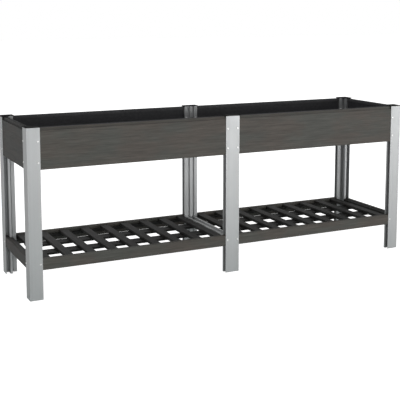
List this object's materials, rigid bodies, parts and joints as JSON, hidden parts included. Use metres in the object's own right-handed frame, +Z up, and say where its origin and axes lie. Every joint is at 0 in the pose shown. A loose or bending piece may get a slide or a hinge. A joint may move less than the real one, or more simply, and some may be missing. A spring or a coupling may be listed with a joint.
{
  "type": "raised planter on legs",
  "caption": "Long raised garden planter: composite board trough with a black lining on aluminium legs, with an open slatted shelf below.",
  "frame": {"origin": "on the ground, under the middle of the planter", "axes": "+X along the length, +Y from the front to the back, +Z up"},
  "size_m": [2.006, 0.506, 0.769],
  "materials": {
    "leg_aluminium": "satin anodised extrusion",
    "beam_aluminium": "satin anodised extrusion",
    "cap_plastic": "moulded, matt black",
    "panel_composite": "wood-plastic composite, fine brushed grain along the board",
    "rail_composite": "wood-plastic composite, fine brushed grain along the board",
    "slat_composite": "wood-plastic composite, brushed, darker",
    "floor_composite": "wood-plastic composite, brushed",
    "lining_film": "thin black film with a soft sheen",
    "fastener_steel": "zinc-plated steel"
  },
  "bodies": {
    "root": {"back_left_cap": "cap_plastic", "back_left_leg": "leg_aluminium", "back_left_panel": "panel_composite", "back_left_shelf_rail": "rail_composite", "back_mid_cap": "cap_plastic", "back_mid_leg": "leg_aluminium", "back_right_cap": "cap_plastic", "back_right_leg": "leg_aluminium", "back_right_panel": "panel_composite", "back_right_shelf_rail": "rail_composite", "bolts": "fastener_steel", "cap_nuts": "fastener_steel", "floor_angles": "beam_aluminium", "floor_board_left_1": "floor_composite", "floor_board_left_2": "floor_composite", "floor_board_left_3": "floor_composite", "floor_board_right_1": "floor_composite", "floor_board_right_2": "floor_composite", "floor_board_right_3": "floor_composite", "floor_cross_beam": "beam_aluminium", "front_left_cap": "cap_plastic", "front_left_leg": "leg_aluminium", "front_left_panel": "panel_composite", "front_left_shelf_rail": "rail_composite", "front_mid_cap": "cap_plastic", "front_mid_leg": "leg_aluminium", "front_right_cap": "cap_plastic", "front_right_leg": "leg_aluminium", "front_right_panel": "panel_composite", "front_right_shelf_rail": "rail_composite", "left_end_panel": "panel_composite", "left_end_shelf_rail": "rail_composite", "right_end_panel": "panel_composite", "right_end_shelf_rail": "rail_composite", "shelf_batten_left_back": "slat_composite", "shelf_batten_left_front": "slat_composite", "shelf_batten_right_back": "slat_composite", "shelf_batten_right_front": "slat_composite", "shelf_cross_channel": "beam_aluminium", "shelf_ledgers": "slat_composite", "shelf_slat_left_1": "slat_composite", "shelf_slat_left_2": "slat_composite", "shelf_slat_left_3": "slat_composite", "shelf_slat_left_4": "slat_composite", "shelf_slat_left_5": "slat_composite", "shelf_slat_left_6": "slat_composite", "shelf_slat_left_7": "slat_composite", "shelf_slat_left_8": "slat_composite", "shelf_slat_left_9": "slat_composite", "shelf_slat_right_1": "slat_composite", "shelf_slat_right_2": "slat_composite", "shelf_slat_right_3": "slat_composite", "shelf_slat_right_4": "slat_composite", "shelf_slat_right_5": "slat_composite", "shelf_slat_right_6": "slat_composite", "shelf_slat_right_7": "slat_composite", "shelf_slat_right_8": "slat_composite", "shelf_slat_right_9": "slat_composite", "trough_lining": "lining_film"}
  },
  "joints": []
}
